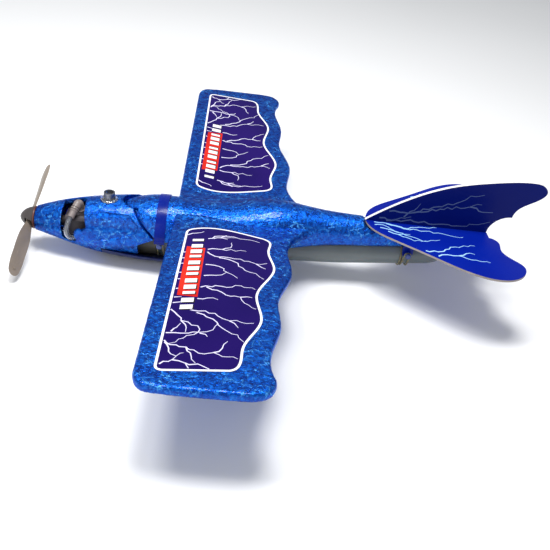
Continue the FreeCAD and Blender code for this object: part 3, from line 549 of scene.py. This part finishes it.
def press_cheeks(mesh):
    """Sets the two cheek panels back into the sides of the cowl."""
    places, normals = coordinates(mesh)
    outward = places[:, 1] * normals[:, 1] > 0
    depth = smoothstep(-0.1, 0.8, inside_distance(places[:, [0, 2]], CHEEK)) * CHEEK_DEPTH
    depth *= smoothstep(*CHEEK_FADE, places[:, 0])
    side = np.sign(places[:, 1])
    places[:, 1] -= side * depth * outward * (np.abs(places[:, 1]) > COWL_FLANK)
    set_coordinates(mesh, places)


ROOT_REACH = 11.0       # how far out on the wing the root fillet starts
ROOT_RISE = 1.9
ROOT_LEAN = 4.2         # how far its upper edge leans in over the fuselage
ROOT_FRONT = -10        # where the strips of wing, each a millimetre of chord, start
ROOT_STRIPS = 160


def raise_root(mesh):
    """Sweeps the wing's upper face up into the side of the fuselage along its root."""
    places, normals = coordinates(mesh)
    side = 1 if places[:, 1].mean() > 0 else -1
    span = places[:, 1] * side
    strips = np.clip((places[:, 0] - ROOT_FRONT).astype(int), 0, ROOT_STRIPS - 1)
    root = np.full(ROOT_STRIPS, np.inf)
    np.minimum.at(root, strips, span)
    reach = np.clip(1 - (span - root[strips]) / ROOT_REACH, 0, 1) ** 2
    reach *= smoothstep(0.1, 0.6, normals[:, 2])
    places[:, 2] += reach * ROOT_RISE
    places[:, 1] -= side * reach * ROOT_LEAN
    set_coordinates(mesh, places)


def make_foam_parts():
    """Wings, fuselage and cowl under their foil, and the moulded tray below the nose."""
    for node, name in (("wing_left", "wing_foam_left"), ("wing_right", "wing_foam_right")):
        mesh = soft_edged(node, WING_GRAIN, 2)
        raise_root(mesh)
        mesh = crinkled(mesh, FOIL_DEPTH)
        fit_out(name, mesh, FOIL, stands_for=[node])
    mesh = crinkled(soft_edged("fuselage", WING_GRAIN, 4), FOIL_DEPTH)
    fit_out("fuselage_foam", mesh, FOIL, stands_for=["fuselage"])
    mesh = soft_edged("nose_cowl", COWL_GRAIN, 2)
    press_cheeks(mesh)
    fit_out("cowl_foam", crinkled(mesh, COWL_DEPTH), FOIL, stands_for=["nose_cowl"])
    mesh = soft_edged("keel_tray", TRAY_GRAIN, 2)
    fit_out("belly_tray_shell", mesh, FINISHES["keel_plastic"], stands_for=["keel_tray"])


# ---- flat printed sheets ----
BORDER = 1.6            # white margin of a wing decal
INK = 0.05              # thickness of a printed layer
LAYER = 0.0015          # each stroke's height over the one before, where they cross
SAME_PLANE = 0.9995     # cosine between a face and the sheet's own direction


class Sheet:
    """The flat face of a node on one side, in its own (aft, outboard) plane."""

    def __init__(self, node, normal, outboard):
        self.normal = Vector(normal).normalized()
        self.aft = Vector((1, 0, 0))
        self.outboard = Vector(outboard).normalized()
        work = bmesh.new()
        work.from_mesh(frame["nodes"][node].data)
        bmesh.ops.remove_doubles(work, verts=work.verts, dist=MERGE)
        other = [face for face in work.faces if face.normal.dot(self.normal) < SAME_PLANE]
        bmesh.ops.delete(work, geom=other, context="FACES")
        bmesh.ops.dissolve_faces(work, faces=work.faces)
        work.verts.ensure_lookup_table()
        self.face = work
        self.height = work.verts[0].co.dot(self.normal)

    def inset(self, margin):
        """Keeps only what lies more than margin inside the outline."""
        rim = bmesh.ops.inset_region(self.face, faces=self.face.faces, thickness=margin * MM,
                                     use_even_offset=True, use_boundary=True)
        bmesh.ops.delete(self.face, geom=rim["faces"], context="FACES")

    def outline(self):
        """The outline in millimetres from the datum, as (aft, outboard) pairs."""
        face = max(self.face.faces, key=lambda region: region.calc_area())
        return [self.flat(vertex.co) for vertex in face.verts]

    def flat(self, place):
        """A place as its (aft, outboard) pair in the plane."""
        offset = (place - DATUM) / MM
        return (offset.dot(self.aft), offset.dot(self.outboard))

    def lifted(self, aft, outboard, lift):
        """The place of a point of the plane, lift millimetres above the face."""
        in_plane = DATUM + (self.aft * aft + self.outboard * outboard) * MM
        return in_plane + self.normal * (self.height - in_plane.dot(self.normal) + lift * MM)

    def film(self, low, high):
        """A closed film over the face, between two heights."""
        work = self.face.copy()
        grown = bmesh.ops.extrude_face_region(work, geom=work.faces[:], use_keep_orig=True)
        upper = {item for item in grown["geom"] if isinstance(item, bmesh.types.BMVert)}
        lower = [vertex for vertex in work.verts if vertex not in upper]
        bmesh.ops.translate(work, verts=lower, vec=self.normal * low * MM)
        bmesh.ops.translate(work, verts=list(upper), vec=self.normal * high * MM)
        bmesh.ops.triangulate(work, faces=work.faces)
        return made_mesh(work, smooth=False)

    def strokes(self, lines, low, high):
        """Closed flat ribbons along lines of (aft, outboard, width), each a LAYER over the last."""
        work = bmesh.new()
        for line in lines:
            places = [Vector(point[:2]) for point in line]
            rows = []
            for i, (here, point) in enumerate(zip(places, line)):
                ahead = places[min(i + 1, len(places) - 1)] - places[max(i - 1, 0)]
                across = Vector((-ahead.y, ahead.x)).normalized() * point[2] / 2
                left, right = here + across, here - across
                rows.append([work.verts.new(self.lifted(*corner, lift))
                             for corner, lift in ((left, low), (left, high), (right, high), (right, low))])
            for first, second in zip(rows, rows[1:]):
                for j in range(4):
                    k = (j + 1) % 4
                    work.faces.new((first[j], first[k], second[k], second[j]))
            work.faces.new(rows[0])
            work.faces.new(rows[-1][::-1])
            high += LAYER
        return made_mesh(work, smooth=False)

    def patches(self, polygons, low, high):
        """Closed flat plates from outlines of (aft, outboard) corners."""
        work = bmesh.new()
        for polygon in polygons:
            lower = [work.verts.new(self.lifted(*corner, low)) for corner in polygon]
            upper = [work.verts.new(self.lifted(*corner, high)) for corner in polygon]
            work.faces.new(lower[::-1])
            work.faces.new(upper)
            for i in range(len(polygon)):
                k = (i + 1) % len(polygon)
                work.faces.new((lower[i], lower[k], upper[k], upper[i]))
        return made_mesh(work, smooth=False)


KINK_EVERY = 3.7        # length of bolt from one kink to the next
KINK_DEPTH = 1.35
BOLT_TAPER = 0.65       # share of its width that a bolt loses by its end


def jagged(draw, route, width):
    """A route of (aft, outboard) points as a bolt: kinked between the points, thinner to its end."""
    places = [Vector(route[0])]
    for here, there in zip(route, route[1:]):
        here, there = Vector(here), Vector(there)
        run = there - here
        across = Vector((-run.y, run.x)).normalized()
        kinks = max(1, round(run.length / KINK_EVERY))
        for i in range(1, kinks):
            place = here + run * ((i + draw.uniform(-0.3, 0.3)) / kinks)
            places.append(place + across * draw.choice((-1, 1)) * draw.uniform(0.2, 1.0) * KINK_DEPTH)
        places.append(there)
    last = len(places) - 1
    return [(place.x, place.y, width * (1 - BOLT_TAPER * i / last)) for i, place in enumerate(places)]


def kept_inside(lines, outline, margin):
    """Cuts each line off where it would leave the outline."""
    kept = []
    for line in lines:
        depth = inside_distance(np.array([point[:2] for point in line]), outline)
        count = next((i for i, value in enumerate(depth) if value < margin), len(line))
        if count > 1:
            kept.append(line[:count])
    return kept


def jagged_lines(routes, width, outline, margin):
    """All the bolts of a sheet, the same on each sheet that has the same routes."""
    draw = random.Random(11)
    return kept_inside([jagged(draw, route, width) for route in routes], outline, margin)


# Routes of the printed bolts in each sheet's plane: (aft, outboard) points, each fork a route of its own.
WING_BOLTS = [
    [(32, 49), (40, 43), (48, 42), (60, 44), (72, 47)],
    [(36, 48), (46, 45), (54, 43)],
    [(46, 41), (41, 46), (47, 47)],
    [(16, 46), (22, 42), (28, 38)],
    [(33, 66), (44, 64), (62, 63)],
    [(44, 64), (50, 60), (50, 52)],
    [(33, 70), (42, 76), (58, 76), (70, 81), (82, 79)],
    [(42, 77), (54, 81), (62, 92), (70, 95), (76, 102)],
    [(70, 81), (77, 87)],
    [(33, 89), (43, 90), (50, 98), (57, 104)],
    [(33, 105), (42, 103), (49, 97)],
    [(32, 121), (42, 117), (50, 118), (60, 114), (70, 117)],
    [(36, 120), (50, 128), (60, 129), (66, 138), (71, 142)],
    [(60, 129), (68, 128)],
    [(31, 136), (38, 134), (45, 135)],
    [(27, 150), (44, 152), (54, 159), (70, 159)],
    [(32, 153), (46, 162), (52, 170), (60, 174), (64, 181)],
    [(54, 159), (60, 166)],
    [(15, 152), (20, 158), (23, 164), (34, 168), (35, 175), (28, 180), (22, 188), (18, 190)],
    [(23, 164), (27, 171), (27, 176)],
    [(15, 179), (24, 178), (36, 175), (44, 171), (47, 163)],
    [(18, 177), (21, 172), (23, 167)],
    [(36, 176), (41, 179)],
    [(15, 187), (19, 191), (29, 192), (37, 197), (46, 195), (55, 198), (61, 199)],
    [(46, 195), (51, 190), (54, 182)],
    [(29, 192), (33, 201), (36, 207)],
    [(15.5, 189), (19, 198), (24, 202), (28, 198)],
    [(15, 211), (20, 208), (24, 202)],
    [(22, 206), (30, 208), (35, 215)],
    [(30, 208), (40, 209), (50, 216)],
]
STUB_SPAN = (54, 62, 74, 83, 91, 104, 113, 126, 137, 144)   # short strokes along the leading border
STUB_AFT = 15.4
STUB_LENGTH = (5, 8)
STUB_SLANT = 1.5
BOLT_WIDTH = 1.05
BOLT_MARGIN = 0.1             # how close a bolt may come to the edge of its print
MARK_AFT = (17.0, 31.0)       # leading and trailing side of the red box
MARK_SPAN = (64.5, 134.0)
BAR_SPAN = (51.0, 153.0)      # the row of bars runs past the box at both ends
BAR_COUNT = 12
BAR_INSET = (3.5, 2.2)        # from the leading and trailing side of the box to the ends of a bar
BAR_SLANT = 2.0
BAR_SHADOW = 0.9              # offset of the dark copy under the bars


def mark_bars(shift):
    """A row of slanted bars across the box, as a plain generic badge."""
    bars = []
    pitch = (BAR_SPAN[1] - BAR_SPAN[0]) / BAR_COUNT
    front = MARK_AFT[0] + BAR_INSET[0] + shift
    rear = MARK_AFT[1] - BAR_INSET[1] + shift
    for i in range(BAR_COUNT):
        near = BAR_SPAN[0] + pitch * (i + 0.15) + shift
        far = near + pitch * (0.62 if i % 3 else 0.40)
        bars.append([(front, near), (rear, near - BAR_SLANT), (rear, far - BAR_SLANT), (front, far)])
    return bars


def make_wing_prints():
    """Violet print on each wing decal: bolts, a red box and a row of bars, one layer over another."""
    for side, name in ((-1, "left"), (1, "right")):
        normal = (0, -side * math.sin(WING_DIHEDRAL), math.cos(WING_DIHEDRAL))
        outboard = (0, side * math.cos(WING_DIHEDRAL), math.sin(WING_DIHEDRAL))
        sheet = Sheet("wing_decal_" + name, normal, outboard)
        sheet.inset(BORDER)
        fit_out("decal_print_" + name, sheet.film(0, INK), DECAL_INK)
        stubs = [[(STUB_AFT, out), (STUB_AFT + STUB_LENGTH[i % 2], out - STUB_SLANT)]
                 for i, out in enumerate(STUB_SPAN)]
        lines = jagged_lines(stubs + WING_BOLTS, BOLT_WIDTH, sheet.outline(), BOLT_MARGIN)
        fit_out("decal_bolts_" + name, sheet.strokes(lines, INK, 2 * INK), PALE_INK)
        low, high = MARK_SPAN
        box = [(MARK_AFT[0], low), (MARK_AFT[1], low), (MARK_AFT[1], high), (MARK_AFT[0], high)]
        fit_out("decal_box_" + name, sheet.patches([box], INK, 2.4 * INK), RED_INK)
        shadows = sheet.patches(mark_bars(BAR_SHADOW), INK, 2.8 * INK)
        fit_out("decal_bar_shadows_" + name, shadows, SHADE_INK)
        bars = sheet.patches(mark_bars(0.0), INK, 3.2 * INK)
        fit_out("decal_bars_" + name, bars, WHITE_INK)


TAIL_BOLTS = [
    [(166, 4), (174, 4), (190, 10), (208, 5), (226, 3), (237, 4)],
    [(176, 5), (190, 11), (209, 11), (226, 14), (239, 15)],
    [(166, 9), (173, 8), (185, 18)],
    [(170, 13), (180, 16), (190, 22), (203, 29), (218, 24)],
    [(176, 18), (184, 22), (196, 30), (206, 28)],
    [(184, 22), (194, 20)],
    [(203, 44), (213, 44), (229, 33), (246, 28)],
    [(212, 51), (220, 47), (229, 47), (242, 51), (253, 53)],
    [(229, 47), (236, 42), (243, 42)],
]
FIN_BOLTS = [
    [(177, 19), (197, 20), (212, 27), (230, 33), (240, 41), (251, 43)],
    [(197, 20), (218, 26), (242, 31), (251, 34)],
    [(242, 31), (250, 28), (262, 28)],
    [(190, 15), (197, 22), (201, 29)],
    [(176, 10), (196, 13), (216, 11), (236, 12), (250, 15), (262, 19)],
    [(188, 29), (200, 32), (214, 38), (219, 42), (231, 44)],
    [(170, 12), (184, 12), (196, 16)],
]
TAIL_BOLT_WIDTH = 1.35
TAIL_BOLT_MARGIN = 0.8


def make_tail_prints():
    """Prints on both faces of the fin and of each tailplane half."""
    sheets = []
    for side, name in ((-1, "left"), (1, "right")):
        up = Vector((0, -side * math.sin(TAIL_DIHEDRAL), math.cos(TAIL_DIHEDRAL)))
        out = (0, side * math.cos(TAIL_DIHEDRAL), math.sin(TAIL_DIHEDRAL))
        sheets.append((Sheet("stabilizer_" + name, up, out), "tailplane_top_" + name, TAIL_BOLTS))
        sheets.append((Sheet("stabilizer_" + name, -up, out), "tailplane_under_" + name, TAIL_BOLTS))
        sheets.append((Sheet("tail_fin", (0, side, 0), (0, 0, 1)), "fin_" + name, FIN_BOLTS))
    for sheet, name, layout in sheets:
        upright = name.startswith("fin")
        # both faces of the fin take the darker inks, as painted shade
        fit_out(name + "_print", sheet.film(0, INK), SHADED_FIN_INK if upright else TAIL_INK)
        lines = jagged_lines(layout, TAIL_BOLT_WIDTH, sheet.outline(), TAIL_BOLT_MARGIN)
        bolts = sheet.strokes(lines, INK, 2 * INK)
        fit_out(name + "_bolts", bolts, SHADED_FIN_BOLT_INK if upright else CYAN_INK)


# ---- bottle, springs and small parts ----
TANK_DROP = 32.4        # the tank's axis below the datum
TANK_TILT = -3.69       # degrees, tail end up
TANK_ROUNDING = 2.2
TANK_AXIS = Matrix.Translation(at(0, 0, -TANK_DROP)) @ Matrix.Rotation(math.radians(TANK_TILT), 4, "Y")


def make_bottle():
    """Blow-moulded tank: neck, shoulder, parallel body and a tapering tail with a domed end."""
    outside = [(-29.5, 9.0), (-11.6, 9.0), (-11.4, 10.6), (-10.0, 12.0), (140, 12.0), (218, 8.9),
               (226, 7.0), (229, 3.0), (229, 0.01)]
    inside = [(228.1, 0.01), (228.1, 2.6), (225.3, 6.0), (217.6, 8.0), (140, 11.1), (-9.6, 11.1),
              (-10.8, 8.1), (-29.5, 8.1)]
    mesh = lathe(rounded(outside + inside, TANK_ROUNDING), TANK_AXIS)
    fit_out("tank_bottle", mesh, FINISHES["tank_plastic"], stands_for=["air_tank"])


COIL_STEPS = 12         # points in one turn of a spring
COIL_CLOSING = 0.07     # how much the end turns are closed up


def coil(node, turns, radius, wire_radius):
    """Compression spring in the space of its node, with its end turns closed up."""
    low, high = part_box(node)
    centre = (low + high) / 2
    bottom = low.z + wire_radius * MM
    rise = high.z - low.z - 2 * wire_radius * MM
    count = turns * COIL_STEPS
    points = []
    for i in range(count + 1):
        t = i / count
        height = bottom + rise * (t - COIL_CLOSING * math.sin(2 * math.pi * t))
        angle = 2 * math.pi * turns * t
        side, ahead = radius * MM * math.cos(angle), radius * MM * math.sin(angle)
        points.append((centre.x + side, centre.y + ahead, height))
    return wire(points, wire_radius)


def make_springs():
    """A coil for the ball's spring and one for the plunger's, both on the airframe; the ball's spring is held at
    its top, the plunger's at its bottom.
    """
    spring = fit_out("ball_coil", coil("valve_spring", 4, 0.9, 0.14), FINISHES["steel"],
                     stands_for=["valve_spring"])
    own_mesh(spring)
    spring = fit_out("plunger_coil", coil("fill_spring", 6, 1.75, 0.22), FINISHES["steel"],
                     stands_for=["fill_spring"])
    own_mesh(spring)


# ---- finishes of the remaining nodes ----
NODE_FINISHES = {
    "stabilizer_left": SHADED_TAIL_EDGE,
    "stabilizer_right": SHADED_TAIL_EDGE,
    "nose_plate": NOSE_RING,
    "spinner_base": NOSE_RING,
}


def finish_cad_nodes():
    """Gives each node the finish of its slot in the record, or one of its own."""
    for part in frame["record"]["subparts"]:
        node = frame["nodes"][part["node"]]
        node.data.materials.clear()
        node.data.materials.append(NODE_FINISHES.get(part["node"], FINISHES[part["material_slot"]]))


# ---- stage ----
CAMERA_FORWARD = Vector((0.0614, 0.8237, -0.5637))
CAMERA_UP = Vector((-0.1011, 0.5670, 0.8175))
CAMERA_PLACE = at(50.0, -548.8, 318.4)
CAMERA_LENS = 49.75
CAMERA_SENSOR = 36.0
FLOOR_REACH = 6.0
LIGHTS = (
    ("overhead box", (-0.05, -0.02, 1.1), 0.34, 9.0),
    ("nose box", (-0.42, -0.06, 1.05), 0.26, 4.5),
    ("front fill", (-0.7, -1.1, 0.7), 0.8, 3.0),
)


def make_camera():
    """Stands off the port side, abreast of the wing, and looks down on the plane."""
    data = bpy.data.cameras.new("camera")
    data.sensor_width = CAMERA_SENSOR
    data.lens = CAMERA_LENS
    data.clip_start = 0.01
    camera = linked("camera", data)
    right = CAMERA_FORWARD.cross(CAMERA_UP).normalized()
    up = right.cross(CAMERA_FORWARD).normalized()
    turn = Matrix((right, up, -CAMERA_FORWARD)).transposed().to_4x4()
    camera.matrix_world = Matrix.Translation(CAMERA_PLACE) @ turn
    bpy.context.scene.camera = camera


def soft_light(name, place, size, watts):
    """Square soft box aimed at the wing's centre."""
    data = bpy.data.lights.new(name, "AREA")
    data.size = size
    data.energy = watts
    light = linked(name, data)
    light.location = place
    light.rotation_mode = "QUATERNION"
    light.rotation_quaternion = (Vector(place) - DATUM).to_track_quat("Z", "Y")


def make_floor():
    """Wide sheet of pale paper under the plane."""
    work = bmesh.new()
    bmesh.ops.create_grid(work, x_segments=1, y_segments=1, size=FLOOR_REACH)
    mesh = bpy.data.meshes.new("floor")
    work.to_mesh(mesh)
    work.free()
    floor = linked("floor", mesh)
    paper = Finish("pale paper", Roughness=0.9, Specular_IOR_Level=0.1)
    tone = paper.graph.noise(paper.place, 3, 2)
    shade = paper.graph.ramp(tone, [(0.3, (0.94, 0.94, 0.94)), (0.7, (0.96, 0.96, 0.96))])
    mesh.materials.append(paper.paint(Base_Color=shade))


def make_studio():
    """Cool even surroundings and three soft boxes."""
    world = bpy.data.worlds.new("studio")
    bpy.context.scene.world = world
    world.use_nodes = True
    background = world.node_tree.nodes["Background"]
    background.inputs["Color"].default_value = (0.93, 0.96, 1.0, 1.0)
    background.inputs["Strength"].default_value = 0.42
    for light in LIGHTS:
        soft_light(*light)
    bpy.context.scene.view_settings.view_transform = "Standard"


make_camera()
make_floor()
make_studio()
finish_cad_nodes()
make_foam_parts()
make_wing_prints()
make_tail_prints()
make_bottle()
make_springs()
